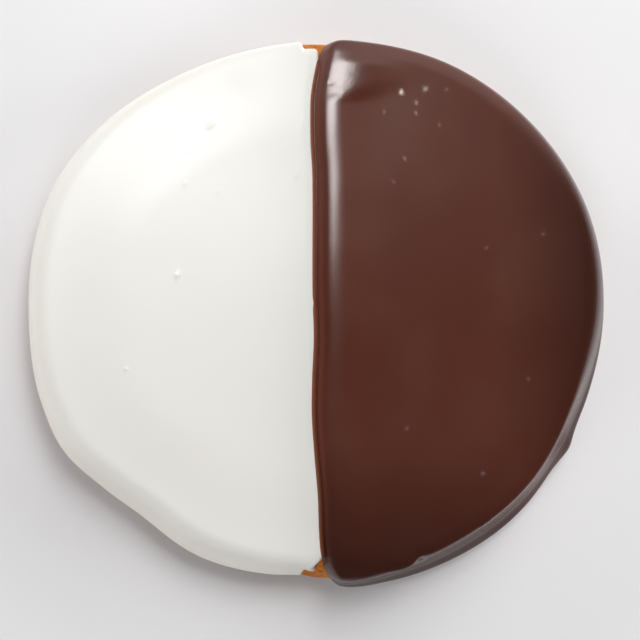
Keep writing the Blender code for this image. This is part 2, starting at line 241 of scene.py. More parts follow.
@dataclass
class CakeForm:
    """The cake's even section, and how the real cookie differs from it.

    The section has a crowned top out to shoulder_radius, a rounded rim out to radius and a domed underside
    in to flat_spot. On each bearing in degrees, outline gives the radius in mm, slump the share of the height
    lost at the rim, lean how far the side is pulled in halfway up in mm, sag the share of its height that the
    widest place has sunk, and square how far the shoulder is pushed out in mm. Start, full and end are the
    radii where each of them sets in, is full and ends.
    """

    radius: float = 53.6 * MM
    flat_spot: float = 24.0 * MM
    rim_height: float = 8.2 * MM
    shoulder_radius: float = 49.0 * MM
    shoulder_height: float = 12.6 * MM
    crown: float = 1.2 * MM
    slump_start: float = 34.0 * MM
    lean_top: float = 14.6 * MM
    lean_start: float = 42.0 * MM
    lean_full: float = 50.0 * MM
    lean_ease: float = 0.3
    square_start: float = 43.0 * MM
    square_full: float = 51.0 * MM
    square_end: float = 56.0 * MM
    outline: SmoothCurve = SmoothCurve((
        (0, 54.6), (20, 55.1), (40, 54.8), (60, 54.1), (80, 52.6), (100, 52.2), (120, 53.0), (140, 54.9),
        (156, 55.8), (180, 54.7), (200, 54.8), (210, 54.6), (221, 52.3), (231, 50.9), (245, 51.5),
        (261, 50.8), (268, 50.5), (276, 52.6), (285, 53.1), (300, 54.0), (320, 54.8), (340, 54.3),
    ), 360)
    slump: SmoothCurve = SmoothCurve((
        (20, 0.05), (85, 0.03), (135, 0.15), (190, 0.09), (235, 0.09), (270, 0.06), (320, 0.02),
    ), 360)
    lean: SmoothCurve = SmoothCurve((
        (10, 0.0), (60, 0.3), (110, 0.4), (150, 0.2), (195, 0.4), (240, 0.8), (272, 0.7), (300, 1.7),
        (332, 1.4),
    ), 360)
    sag: SmoothCurve = SmoothCurve((
        (0, 0.0), (30, 0.0), (120, 0.0), (200, 0.0), (255, 0.05), (272, 0.25), (290, 0.5), (325, 0.55),
        (342, 0.3),
    ), 360)
    square: SmoothCurve = SmoothCurve((
        (0, 1.3), (15, 1.9), (60, 1.9), (90, 2.0), (140, 1.4), (185, 1.0), (215, 0.3), (245, 0.2),
        (262, 1.0), (274, 1.8), (284, 1.5), (294, 0.3), (330, 0.0), (345, 0.3),
    ), 360)
    top_steps: int = 240
    rim_steps: int = 900
    dome_steps: int = 571
    dome_turn: float = 57.0
    walks: Array = field(init=False)
    skin: Array = field(init=False)
    shoulder_walk: float = field(init=False)
    rim_walk: float = field(init=False)

    def __post_init__(self) -> None:
        """Measures the walk along the skin, from the middle of the top to well under the rim."""
        top = self.top(np.linspace(0, self.shoulder_radius, self.top_steps, endpoint=False))
        rim = self.rim(np.linspace(0, 90, self.rim_steps, endpoint=False))
        self.skin = np.vstack((top, rim, self.dome(np.linspace(0, self.dome_turn, self.dome_steps))))
        steps = np.hypot(*np.diff(self.skin[:, :2], axis=0).T)
        self.walks = np.concatenate(([0.0], np.cumsum(steps)))
        self.shoulder_walk = float(self.walks[len(top)])
        self.rim_walk = float(self.walks[len(top) + len(rim)])

    def top(self, radii: Array) -> Array:
        """Rows of (radius, height, normal out, normal up) on the crowned top."""
        turn = math.pi * radii / self.shoulder_radius
        fall = self.crown / 2 * math.pi / self.shoulder_radius * np.sin(turn)
        scale = np.hypot(fall, 1)
        heights = self.shoulder_height + self.crown * (1 + np.cos(turn)) / 2
        return np.column_stack((radii, heights, fall / scale, 1 / scale))

    def rim(self, degrees: Array) -> Array:
        """The same on the rim, from the shoulder at 0 degrees out to the widest place at 90."""
        turn = np.radians(degrees)
        out, rise = self.radius - self.shoulder_radius, self.shoulder_height - self.rim_height
        scale = np.hypot(rise * np.sin(turn), out * np.cos(turn))
        place = (self.shoulder_radius + out * np.sin(turn), self.rim_height + rise * np.cos(turn))
        return np.column_stack((*place, rise * np.sin(turn) / scale, out * np.cos(turn) / scale))

    def dome(self, degrees: Array) -> Array:
        """The same on the baked underside, from the widest place at 0 degrees in to the flat spot at 90."""
        turn = np.radians(degrees)
        out = self.radius - self.flat_spot
        scale = np.hypot(self.rim_height * np.cos(turn), out * np.sin(turn))
        place = (self.flat_spot + out * np.cos(turn), self.rim_height * (1 - np.sin(turn)))
        normal = (self.rim_height * np.cos(turn) / scale, -out * np.sin(turn) / scale)
        return np.column_stack((*place, *normal))

    def drape(self, places: Array, heights: Array) -> Array:
        """Lays places of the skin plane over the even cake.

        Args:
            places: Places in the skin plane.
            heights: How high over the skin each lies.

        Returns:
            Points of the even cookie.
        """
        walk = lengths(places)
        radius, level, out, up = (np.interp(walk, self.walks, column) for column in self.skin.T)
        reach = radius + heights * out
        across = places / np.maximum(walk, 1e-9)[:, None] * reach[:, None]
        return np.column_stack((across, level + heights * up))

    def settle(self, points: Array) -> Array:
        """Moves points of the even cookie to their places on the uneven one.

        Args:
            points: Points of the even cookie.

        Returns:
            The same points on the real cookie.
        """
        radius, bearing = lengths(points), bearings(points)
        sink = 1 - self.slump.at(bearing) * ramp(radius, self.slump_start, self.radius)
        rise = np.clip((points[:, 2] - self.rim_height) / (self.lean_top - self.rim_height), 0, 1)
        beside = ramp(radius, self.lean_start, self.lean_full)
        sink *= 1 - self.sag.at(bearing) * beside * (1 - smooth(rise))
        pulled = self.lean.at(bearing) * MM * 4 * rise * (1 - rise) * smooth(rise / self.lean_ease) * beside
        squared = ramp(radius, self.square_start, self.square_full)
        squared = squared * (1 - ramp(radius, self.square_full, self.square_end))
        pulled = pulled - self.square.at(bearing) * MM * squared * smooth(rise / self.lean_ease)
        grow = self.outline.at(bearing) * MM / self.radius * (radius - pulled) / np.maximum(radius, MM)
        return np.column_stack((points[:, 0] * grow, points[:, 1] * grow, points[:, 2] * sink))


def coordinates(body: bmesh.types.BMesh) -> Array:
    """All of a body's points, one row each."""
    return np.array([vertex.co[:] for vertex in body.verts])


def move_to(body: bmesh.types.BMesh, points: Array) -> None:
    """Moves each of a body's vertices to its row of points."""
    for vertex, point in zip(body.verts, points.tolist()):
        vertex.co = point


def on_top(flat: Array) -> Array:
    """Whether each of a pancake's points is on its upper side."""
    return flat[:, 2] > PANCAKE_HEIGHT / 2


def spun(section: Array, steps: int, wedges: int = 12) -> bmesh.types.BMesh:
    """Spins a section round Z.

    Args:
        section: Rows of (radius, height), from the axis back to the axis.
        steps: How many steps the full turn has.
        wedges: How many equal wedges the turn is put together from; steps is a multiple of it.

    Returns:
        A closed body whose faces point outwards.
    """
    body = bmesh.new()
    line = [body.verts.new((radius, 0, height)) for radius, height in section.tolist()]
    edges = [body.edges.new(pair) for pair in zip(line, line[1:])]
    bmesh.ops.spin(body, geom=line + edges, axis=(0, 0, 1), angle=math.tau / wedges, steps=steps // wedges)
    wedge = [*body.verts, *body.edges, *body.faces]
    for turn in range(1, wedges):
        copy = bmesh.ops.duplicate(body, geom=wedge)["geom"]
        verts = [part for part in copy if isinstance(part, bmesh.types.BMVert)]
        matrix = Matrix.Rotation(math.tau * turn / wedges, 3, "Z")
        bmesh.ops.rotate(body, cent=(0, 0, 0), matrix=matrix, verts=verts)
    bmesh.ops.remove_doubles(body, verts=body.verts, dist=0.0005 * MM)
    bmesh.ops.recalc_face_normals(body, faces=body.faces)
    return body


class Side(Enum):
    """Which way from the seam a half of the icing lies."""

    WHITE = -1
    CHOCOLATE = 1


@dataclass
class IcingHalf:
    """One half of the icing, as a patch of the skin plane with a thickness.

    A pair is for the seam's ends towards +Y and -Y. seam is the seam's way as (y, x), and seam_rise the
    icing's fullness on its way in from it, all in mm. lip_waves are the lower edge's waves, by their number,
    size and start, and lip_width says how far in from it the icing is fully thick. sunk is how deep the
    underside lies in the cake. thin_depth is the thickness at which the cake still shimmers through, and
    seam_tone and lip_tone are how far the tones beside the seam and the lower edge reach; on the white
    icing the tone beside the seam is painted shade. The net is the pancake's: ring_power draws its rings
    together towards the edge, and crowding its columns towards the half's corners.
    """

    cake: CakeForm
    side: Side = Side.WHITE
    thickness: float = 1.6 * MM
    seam_rise: SmoothCurve = SmoothCurve((
        (0, 0), (0.1, 0.3), (0.4, 0.65), (0.9, 0.9), (1.6, 0.98), (2.4, 1.0),
    ))
    lip_width: float = 2.2 * MM
    lip_run: float = 1.5 * MM
    corners: tuple[float, float] = (7.5 * MM, 7.5 * MM)
    sunk: float = 0.12 * MM
    thin_depth: float = 0.35 * MM
    seam_tone: float = 7.0 * MM
    lip_tone: float = 4.0 * MM
    half_middle: float = 27.0 * MM
    pancake_radius: float = 30.0 * MM
    pancake_band: float = 9.5 * MM
    columns: int = 600
    band_rings: int = 66
    disc_rings: int = 58
    under_rings: int = 12
    ring_power: float = 1.6
    crowding: float = 0.6
    search_rounds: int = 30
    search_reach: float = 1.5
    blemishes: tuple[Blemish, ...] = ()
    lip_waves: tuple[tuple[float, float, float], ...] = (
        (3, 0.45 * MM, 1.0), (7, 0.35 * MM, 2.2), (13, 0.2 * MM, 0.0),
    )
    seam: SmoothCurve = SmoothCurve((
        (-60, 2.6), (-54, 2.5), (-51, 2.0), (-47, 1.1), (-38, 0.7), (-30, 0.0), (-22, -0.5), (-15, -0.4),
        (-7, -0.1), (2, -0.35), (25, -0.4), (33, -0.8), (41, -0.8), (45, -0.3), (49, 0.8), (53, 2.4),
        (60, 3.2),
    ))

    def from_seam(self, places: Array) -> Array:
        """How far inside its seam edge each place lies; negative is outside."""
        return self.side.value * (places[:, 0] - self.seam.at(places[:, 1] / MM) * MM)

    def from_lip(self, places: Array) -> Array:
        """How far inside its wandering lower edge each place lies; negative is outside."""
        turn = np.arctan2(places[:, 1], places[:, 0])
        wander = sum(size * np.sin(waves * turn + start) for waves, size, start in self.lip_waves)
        return self.cake.rim_walk + self.lip_run + wander - lengths(places)

    def depth(self, places: Array) -> Array:
        """How far inside its whole edge each place lies, with the corners rounded."""
        corner = by_end(places, self.corners)
        from_seam, from_lip = self.from_seam(places), self.from_lip(places)
        rounded = corner - np.hypot(corner - from_seam, corner - from_lip)
        near = (from_seam < corner) & (from_lip < corner)
        return np.where(near, rounded, np.minimum(from_seam, from_lip))

    def fullness(self, places: Array) -> Array:
        """The rounded edge of poured icing: 0 at its very edge and 1 where it is fully thick."""
        from_seam = np.maximum(self.from_seam(places), 0)
        lip_part = from_seam / (from_seam + np.maximum(self.from_lip(places), 0) + HAIR)
        depth = np.maximum(self.depth(places), 0)
        by_lip = np.sqrt(1 - (1 - np.minimum(depth / self.lip_width, 1)) ** 2)
        by_seam = self.seam_rise.at(depth / MM)
        return by_seam + (by_lip - by_seam) * smooth(lip_part)

    def plain_upper(self, places: Array) -> Array:
        """The height of its upper side away from its edges, with its small rises and dents."""
        return self.thickness + sum((one.heights(places) for one in self.blemishes), np.zeros(len(places)))

    def lower(self, places: Array) -> Array:
        """The height of its underside over the cake's skin."""
        return np.full(len(places), -self.sunk)

    def upper(self, places: Array) -> Array:
        """The height of its upper side over the cake's skin."""
        lower = self.lower(places)
        return lower + (self.plain_upper(places) - lower) * self.fullness(places)

    def edge(self, shares: Array) -> Array:
        """Places round an even half's edge.

        Args:
            shares: Shares of the way round: first round its arc, then back along the seam.

        Returns:
            A place in the skin plane for each share.
        """
        arc_share = math.pi / (math.pi + 2)
        turn = math.pi * (self.crowded(np.clip(shares / arc_share, 0, 1)) - 0.5)
        arc = np.column_stack((self.side.value * np.cos(turn), np.sin(turn)))
        back = 1 - 2 * self.crowded(np.clip((shares - arc_share) / (1 - arc_share), 0, 1))
        line = np.column_stack((np.zeros(len(shares)), back))
        return np.where((shares < arc_share)[:, None], arc, line) * self.cake.rim_walk

    def crowded(self, shares: Array) -> Array:
        """Evenly spaced shares from 0 to 1, drawn together towards both ends."""
        return shares - self.crowding * np.sin(math.tau * shares) / math.tau

    def spread(self, flat: Array) -> Array:
        """Spreads the pancake over its half.

        Args:
            flat: Points of the flat pancake.

        Returns:
            Their places in the skin plane. The pancake's band keeps its width, and the disc inside stretches.
        """
        middle = np.array((self.side.value * self.half_middle, 0.0))
        ahead = self.edge(np.arctan2(flat[:, 1], flat[:, 0]) / math.tau % 1.0) - middle
        ahead /= lengths(ahead)[:, None]
        radius = lengths(flat)
        depth = np.minimum(self.pancake_radius - radius, self.pancake_band)
        near, far = np.zeros(len(flat)), np.full(len(flat), self.search_reach * self.cake.rim_walk)
        for _ in range(self.search_rounds):
            trial = (near + far) / 2
            inside = self.depth(middle + ahead * trial[:, None]) > depth
            near, far = np.where(inside, trial, near), np.where(inside, far, trial)
        stretch = np.minimum(radius / (self.pancake_radius - self.pancake_band), 1.0)
        return middle + ahead * (near * stretch)[:, None]

    def section(self) -> Array:
        """The pancake's section as rows of (radius, height), whose rings crowd towards its edge."""
        disc = np.linspace(0, self.pancake_radius - self.pancake_band, self.disc_rings, endpoint=False)
        band = self.pancake_band * np.linspace(1, 0, self.band_rings, endpoint=False) ** self.ring_power
        under = self.pancake_band * np.linspace(0, 1, self.under_rings + 1)[1:] ** self.ring_power
        upper = np.concatenate((disc, self.pancake_radius - band))
        lower = np.concatenate((self.pancake_radius - under, [self.pancake_radius / 3, 0]))
        edge = np.array(((self.pancake_radius, 0.0),))
        return np.vstack((
            np.column_stack((upper, np.full(len(upper), PANCAKE_HEIGHT))), edge,
            np.column_stack((lower, np.full(len(lower), -PANCAKE_HEIGHT))),
        ))

    def fine_spots(self) -> tuple[Blemish | Wrinkles, ...]:
        """Everything that needs a finer net on the upper side."""
        return self.blemishes

    def refine(self, body: bmesh.types.BMesh) -> None:
        """Gives the upper side a finer net at each fine spot."""
        points = coordinates(body)
        near = np.zeros(len(points), dtype=bool)
        for spot in self.fine_spots():
            near |= spot.covers(points)
        near &= on_top(points)
        body.verts.index_update()
        edges = [edge for edge in body.edges if all(near[vertex.index] for vertex in edge.verts)]
        bmesh.ops.subdivide_edges(body, edges=edges, cuts=2, use_grid_fill=True)

    def body(self) -> bmesh.types.BMesh:
        """Builds the icing.

        Returns:
            Its closed body, spread and draped from the pancake, with its finish's tones at the vertices.
        """
        body = spun(self.section(), self.columns)
        flat = coordinates(body)
        move_to(body, np.column_stack((self.spread(flat), flat[:, 2])))
        self.refine(body)
        flat = coordinates(body)
        places = flat[:, :2]
        lower = self.lower(places)
        heights = np.where(on_top(flat), self.upper(places), lower)
        tones = {
            "thin": np.exp(-(heights - lower) / self.thin_depth),
            # beside_seam also lays the white icing's painted shade by the seam
            "beside_seam": np.exp(-np.maximum(self.from_seam(places), 0) / self.seam_tone),
            "beside_lip": np.exp(-np.maximum(self.from_lip(places), 0) / self.lip_tone),
            # pale is the painted glint on each small bubble
            "pale": sum((one.pale * one.share(places) for one in self.blemishes), np.zeros(len(places))),
        }
        for name, values in tones.items():
            layer = body.verts.layers.float.new(name)
            for vertex, value in zip(body.verts, values.tolist()):
                vertex[layer] = value
        move_to(body, self.cake.settle(self.cake.drape(places, heights)))
        if self.side is Side.WHITE:
            bmesh.ops.reverse_faces(body, faces=body.faces)
        return body


@dataclass
class WhiteIcing(IcingHalf):
    """The half towards -X. At the seam's two ends it stops short and bares the cake.

    It runs in under the chocolate by lap. From bare_start, over bare_reach, it draws back from the seam by
    bare_width. Its lower edge is drawn_back nearer to the seam than drawn_full, and not at all past
    drawn_width. bank is its rise beside the seam.
    """

    corners: tuple[float, float] = (0.9 * MM, 1.2 * MM)
    lap: float = 0.9 * MM
    bare_start: tuple[float, float] = (46.0 * MM, 48.0 * MM)
    bare_reach: tuple[float, float] = (6.0 * MM, 3.6 * MM)
    bare_width: tuple[float, float] = (0.8 * MM, 1.9 * MM)
    drawn_back: tuple[float, float] = (7.1 * MM, 4.0 * MM)
    drawn_full: tuple[float, float] = (2.6 * MM, 2.2 * MM)
    drawn_width: tuple[float, float] = (6.2 * MM, 3.9 * MM)
    bank: float = 0.15 * MM
    bank_spread: float = 3.2 * MM
    wave: float = 0.05 * MM
    wave_size: float = 18.0 * MM
    wave_seed: float = 3.0

    def from_seam(self, places: Array) -> Array:
        """How far inside its seam edge each place lies, which runs in under the chocolate."""
        pairs = (self.bare_start, self.bare_reach, self.bare_width)
        start, reach, width = (by_end(places, pair) for pair in pairs)
        bare = smooth((np.abs(places[:, 1]) - start) / reach)
        return super().from_seam(places) + self.lap - (self.lap + width) * bare

    def from_lip(self, places: Array) -> Array:
        """How far inside its lower edge each place lies, which is drawn back beside the seam's two ends."""
        pairs = (self.drawn_back, self.drawn_full, self.drawn_width)
        back, full, width = (by_end(places, pair) for pair in pairs)
        return super().from_lip(places) - back * ramp(self.from_seam(places), width, full)

    def plain_upper(self, places: Array) -> Array:
        """Its upper side away from its edges, in shallow waves and with a bank beside the seam."""
        bank = self.bank * swell(self.from_seam(places), self.lap, self.bank_spread)
        waves = self.wave * waviness(places, self.wave_size, self.wave_seed)
        return super().plain_upper(places) + bank + waves


@dataclass
class ChocolateIcing(IcingHalf):
    """The half towards +X. Along the seam it lies over the white icing's edge.

    Each pair of the ridge beside the seam is for the seam and for its end towards +Y; ridge_turn says where
    one passes into the other, and ridge_end and ridge_fade where the ridge ends. The shoulder's bead and the
    groove below it start and end over bead_rises and bead_fades, each a bearing and a length in degrees.
    notches are given by bearing, spread and depth. The drip's edge is drip_foot times as wide as the drip.
    """

    white: WhiteIcing | None = None
    side: Side = Side.CHOCOLATE
    thickness: float = 2.3 * MM
    seam_rise: SmoothCurve = SmoothCurve((
        (0, 0), (0.06, 0.13), (0.3, 0.23), (0.8, 0.37), (1.4, 0.54), (2.6, 0.82), (3.2, 0.9), (4.6, 0.965),
        (6.4, 1),
    ))
    corners: tuple[float, float] = (5.6 * MM, 2.9 * MM)
    thin_depth: float = 0.5 * MM
    columns: int = 480
    wrinkles: tuple[Wrinkles, ...] = (Wrinkles(7.5, 36.0, 4.5, 18.0, 0.014, 0.7),)
    ridge: tuple[float, float] = (0.5 * MM, 0.72 * MM)
    ridge_inset: tuple[float, float] = (5.6 * MM, 9.6 * MM)
    ridge_spread: tuple[float, float] = (4.0 * MM, 5.6 * MM)
    ridge_turn: tuple[float, float] = (39.5 * MM, 44.0 * MM)
    ridge_end: float = 47.4 * MM
    ridge_fade: float = 3.4 * MM
    bead: float = 0.17 * MM
    bead_place: float = 1.6 * MM
    bead_spread: float = 1.3 * MM
    groove: float = 0.15 * MM
    groove_place: float = 3.9 * MM
    groove_spread: float = 1.1 * MM
    bead_rises: tuple[float, float] = (275, 12)
    bead_fades: tuple[float, float] = (335, 25)
    notches: tuple[tuple[float, float, float], ...] = ((292.5, 1.6, 0.9), (284, 3.0, 0.6))
    drip: float = 1.1 * MM
    drip_bearing: float = 331.5
    drip_turn: float = 2.7
    drip_foot: float = 1.3
    drip_place: float = 1.3 * MM
    drip_run: float = 1.7 * MM
    wave: float = 0.035 * MM
    wave_size: float = 20.0 * MM
    wave_seed: float = 8.0

    def fine_spots(self) -> tuple[Blemish | Wrinkles, ...]:
        """Everything that needs a finer net on the upper side."""
        return (*self.blemishes, *self.wrinkles)

    def from_lip(self, places: Array) -> Array:
        """How far inside its lower edge each place lies, which hangs down where a drip has run."""
        hang = self.drip_run * turned(places, self.drip_bearing, self.drip_foot * self.drip_turn)
        return super().from_lip(places) + hang

    def north_end(self, places: Array) -> Array:
        """How far each place is into the seam's end towards +Y, from 0 to 1."""
        return ramp(places[:, 1], *self.ridge_turn)

    def plain_upper(self, places: Array) -> Array:
        """Its upper side away from its edges, with the ridge by the seam, the rim's bead and the drip."""
        walk = lengths(places)
        high, inset, spread = (a + (b - a) * self.north_end(places)
                               for a, b in (self.ridge, self.ridge_inset, self.ridge_spread))
        ridge = high * swell(self.from_seam(places), inset, spread)
        ridge = ridge * (1 - smooth((walk - self.ridge_end) / self.ridge_fade))
        bearing = bearings(places) % 360
        full = smooth((bearing - self.bead_rises[0]) / self.bead_rises[1])
        full *= 1 - smooth((bearing - self.bead_fades[0]) / self.bead_fades[1])
        full = full - sum(deep * turned(places, at, spread) for at, spread, deep in self.notches)
        full = np.maximum(full, 0)
        bead = full * swell(walk, self.cake.shoulder_walk + self.bead_place, self.bead_spread)
        groove = full * swell(walk, self.cake.shoulder_walk + self.groove_place, self.groove_spread)
        drip = turned(places, self.drip_bearing, self.drip_turn)
        drip = drip * swell(walk, self.cake.rim_walk + self.drip_place, self.drip_place)
        plain = super().plain_upper(places) + self.wave * waviness(places, self.wave_size, self.wave_seed)
        plain = plain + sum(patch.heights(places) for patch in self.wrinkles)
        return plain + ridge + self.bead * bead - self.groove * groove + self.drip * drip

    def lower(self, places: Array) -> Array:
        """The height of its underside, which lies on the white icing and past it on the cake."""
        return np.where(self.white.depth(places) < 0, -self.sunk, self.white.upper(places) - self.sunk)


@dataclass
class BakedCake:
    """The cake under the icing, with the small pits and blisters of its baked skin.

    Its rings lie closer from the share edge_start of the top's radius outwards. A pit takes the share
    pit_width of pit_size. Each of the bulges is given by its bearing, its spread in degrees and its height.
    """

    form: CakeForm
    columns: int = 480
    top_rings: int = 16
    edge_rings: int = 24
    rim_rings: int = 26
    dome_rings: int = 66
    flat_rings: int = 24
    edge_start: float = 0.86
    pit: float = 0.28 * MM
    pit_size: float = 1.5 * MM
    pit_width: float = 0.45
    wave: float = 0.12 * MM
    wave_size: float = 6.0 * MM
    wave_seed: float = 1.0
    bulges: tuple[tuple[float, float, float], ...] = ((92.5, 5.5, 0.9 * MM), (268.5, 4.5, 1.6 * MM))

    def bulged(self, points: Array) -> Array:
        """Pushes the rim out a little where the icing leaves it bare.

        Args:
            points: Points of the even cake.

        Returns:
            The same points with the bulges.
        """
        radius = lengths(points)
        push = sum(high * turned(points, at, spread) for at, spread, high in self.bulges)
        push = push * ramp(radius, self.form.shoulder_radius, self.form.radius)
        out = 1 + push / np.maximum(radius, MM)
        return points * np.column_stack((out, out, np.ones(len(points))))

    def section(self) -> Array:
        """The cake's section as rows of (radius, height), from the top's middle to the bottom's."""
        radius = self.form.shoulder_radius
        top = self.form.top(np.linspace(0, self.edge_start * radius, self.top_rings, endpoint=False))
        edge = self.form.top(np.linspace(self.edge_start * radius, radius, self.edge_rings, endpoint=False))
        rim = self.form.rim(np.linspace(0, 90, self.rim_rings, endpoint=False))
        dome = self.form.dome(np.linspace(0, 90, self.dome_rings, endpoint=False))
        flat = np.linspace(self.form.flat_spot, 0, self.flat_rings)
        bottom = np.column_stack((flat, np.zeros(len(flat))))
        return np.vstack((*(part[:, :2] for part in (top, edge, rim, dome)), bottom))

    def body(self) -> bmesh.types.BMesh:
        """Builds the cake.

        Returns:
            Its closed body, settled and roughened.
        """
        body = spun(self.section(), self.columns)
        points = self.form.settle(self.bulged(coordinates(body)))
        move_to(body, points)
        body.normal_update()
        normals = np.array([vertex.normal[:] for vertex in body.verts])
        pits = np.array([noise.voronoi(one)[0][0] for one in (points / self.pit_size).tolist()])
        waves = self.wave * waviness(points, self.wave_size, self.wave_seed)
        relief = waves - self.pit * (1 - smooth(pits / self.pit_width))
        points = points + normals * relief[:, None]
        points[:, 2] = np.maximum(points[:, 2], 0)
        move_to(body, points)
        return body


class NodeTree:
    """A small helper that places and links nodes in one tree."""

    def __init__(self, tree: bpy.types.NodeTree) -> None:
        """Takes the tree that it fills."""
        self.tree = tree

    def feed(self, socket: bpy.types.NodeSocket, value: object) -> None:
        """Links a socket to another node's output, or sets its number or its colour."""
        if isinstance(value, bpy.types.NodeSocket):
            self.tree.links.new(value, socket)
        else:
            socket.default_value = (*value, 1.0) if isinstance(value, tuple) else value

    def add(self, kind: str, inputs: dict | None = None, **settings: object) -> bpy.types.Node:
        """Adds a node.

        Args:
            kind: The node's type.
            inputs: For each socket's name or number, a value or another node's output.
            **settings: The node's own options.

        Returns:
            The new node.
        """
        node = self.tree.nodes.new(kind)
        for name, value in settings.items():
            setattr(node, name, value)
        for socket, value in (inputs or {}).items():
            self.feed(node.inputs[socket], value)
        return node

    def blend(self, share: object, first: object, second: object) -> bpy.types.NodeSocket:
        """Mixes two colours by a share and returns the result."""
        return self.add("ShaderNodeMix", {0: share, 6: first, 7: second}, data_type="RGBA").outputs[2]

    def combined(self, operation: str, first: object, second: object = 0.0) -> bpy.types.NodeSocket:
        """Puts numbers together by a Math node's operation and returns the result."""
        return self.add("ShaderNodeMath", {0: first, 1: second}, operation=operation).outputs["Value"]

    def split(self, vector: bpy.types.NodeSocket) -> bpy.types.NodeOutputs:
        """A vector's three parts, as outputs named X, Y and Z."""
        return self.add("ShaderNodeSeparateXYZ", {"Vector": vector}).outputs

    def ranged(self, value: object, source: tuple, target: tuple = (0.0, 1.0),
               soft: bool = True) -> bpy.types.NodeSocket:
        """Maps a number from one range to another and holds it there.

        Args:
            value: The number.
            source: The value at which the target range starts, and the one at which it ends.
            target: The start and the end of the new range.
            soft: Whether the result eases in and out.

        Returns:
            The mapped number.
        """
        inputs = {"Value": value, "From Min": source[0], "From Max": source[1],
                  "To Min": target[0], "To Max": target[1]}
        kind = "SMOOTHSTEP" if soft else "LINEAR"
        return self.add("ShaderNodeMapRange", inputs, interpolation_type=kind).outputs["Result"]


def new_group(name: str, numbers: tuple[str, ...], output: str) -> tuple:
    """Starts a shader node group that turns a place and some numbers into one number.

    Args:
        name: The group's name.
        numbers: The name of each number that it takes.
        output: The name of the number that it gives.

    Returns:
        The group's helper, what it is given as named outputs, and the socket for its result.
    """
    tree = bpy.data.node_groups.new(name, "ShaderNodeTree")
    tree.interface.new_socket("Vector", in_out="INPUT", socket_type="NodeSocketVector")
    for socket in numbers:
        tree.interface.new_socket(socket, in_out="INPUT", socket_type="NodeSocketFloat")
    tree.interface.new_socket(output, in_out="OUTPUT", socket_type="NodeSocketFloat")
    helper = NodeTree(tree)
    return helper, helper.add("NodeGroupInput").outputs, helper.add("NodeGroupOutput").inputs[output]


def mottle_group() -> bpy.types.NodeTree:
    """Soft, cloudy patches.

    Returns:
        A group that turns a place into a mask from 0 to 1, between the noise levels low and high.
    """
    helper, given, result = new_group("cloudy_patches", ("Scale", "Low", "High"), "Mask")
    clouds = helper.add("ShaderNodeTexNoise", {
        "Vector": given["Vector"], "Scale": given["Scale"], "Detail": 3.0, "Roughness": 0.5})
    helper.feed(result, helper.ranged(clouds.outputs["Fac"], (given["Low"], given["High"])))
    return helper.tree


def grain_group() -> bpy.types.NodeTree:
    """Fine surface grain.

    Returns:
        A group that turns a place into a height, from a coarse and a fine noise.
    """
    helper, given, result = new_group("fine_grain", ("Coarse", "Fine", "Share"), "Height")
    coarse, fine = (
        helper.add("ShaderNodeTexNoise", {
            "Vector": given["Vector"], "Scale": given[scale], "Detail": detail}).outputs["Fac"]
        for scale, detail in (("Coarse", 2.0), ("Fine", 4.0)))
    mixed = helper.add("ShaderNodeMix", {0: given["Share"], 2: coarse, 3: fine}, data_type="FLOAT")
    helper.feed(result, mixed.outputs[0])
    return helper.tree


@dataclass(frozen=True)
class Effects:
    """The node groups that the finishes share."""

    mottle: bpy.types.NodeTree
    grain: bpy.types.NodeTree


class Finish:
    """A material in the making, with its shader and its place over the surface."""

    def __init__(self, name: str, effects: Effects) -> None:
        """Starts an opaque material of this name, which may use the shared node groups."""
        self.material = bpy.data.materials.new(name)
        self.material.use_nodes = True
        self.effects = effects
        self.nodes = NodeTree(self.material.node_tree)
        self.shader = self.material.node_tree.nodes["Principled BSDF"]
        self.place = self.nodes.add("ShaderNodeTexCoord").outputs["Object"]

    def feed(self, socket: str, value: object) -> None:
        """Sets one of the shader's sockets, or links it to a node's output."""
        self.nodes.feed(self.shader.inputs[socket], value)

    def patches(self, scale: float, low: float, high: float) -> bpy.types.NodeSocket:
        """Cloudy patches of one scale, as a mask from 0 to 1 between two noise levels."""
        inputs = {"Vector": self.place, "Scale": scale, "Low": low, "High": high}
        return self.nodes.add("ShaderNodeGroup", inputs, node_tree=self.effects.mottle).outputs["Mask"]

    def tone(self, name: str) -> bpy.types.NodeSocket:
        """One of the tones that the mesh has at its vertices, from 0 to 1."""
        return self.nodes.add("ShaderNodeAttribute", attribute_name=name).outputs["Fac"]

    def roughness(self, mask: bpy.types.NodeSocket, low: float, high: float) -> None:
        """Lets the roughness run from low to high with a mask."""
        self.feed("Roughness", self.nodes.ranged(mask, (0.0, 1.0), (low, high), soft=False))

    def grain(self, scales: tuple[float, float], share: float, strength: float, distance: float) -> None:
        """Bumps the surface's shading by a fine grain.

        Args:
            scales: The scales of its coarse and its fine noise.
            share: How much of it is the fine noise.
            strength: How strongly it shows.
            distance: How high it stands, in metres.
        """
        inputs = {"Vector": self.place, "Coarse": scales[0], "Fine": scales[1], "Share": share}
        height = self.nodes.add("ShaderNodeGroup", inputs, node_tree=self.effects.grain).outputs["Height"]
        bump = self.nodes.add("ShaderNodeBump", {
            "Height": height, "Strength": strength, "Distance": distance})
        self.feed("Normal", bump.outputs["Normal"])


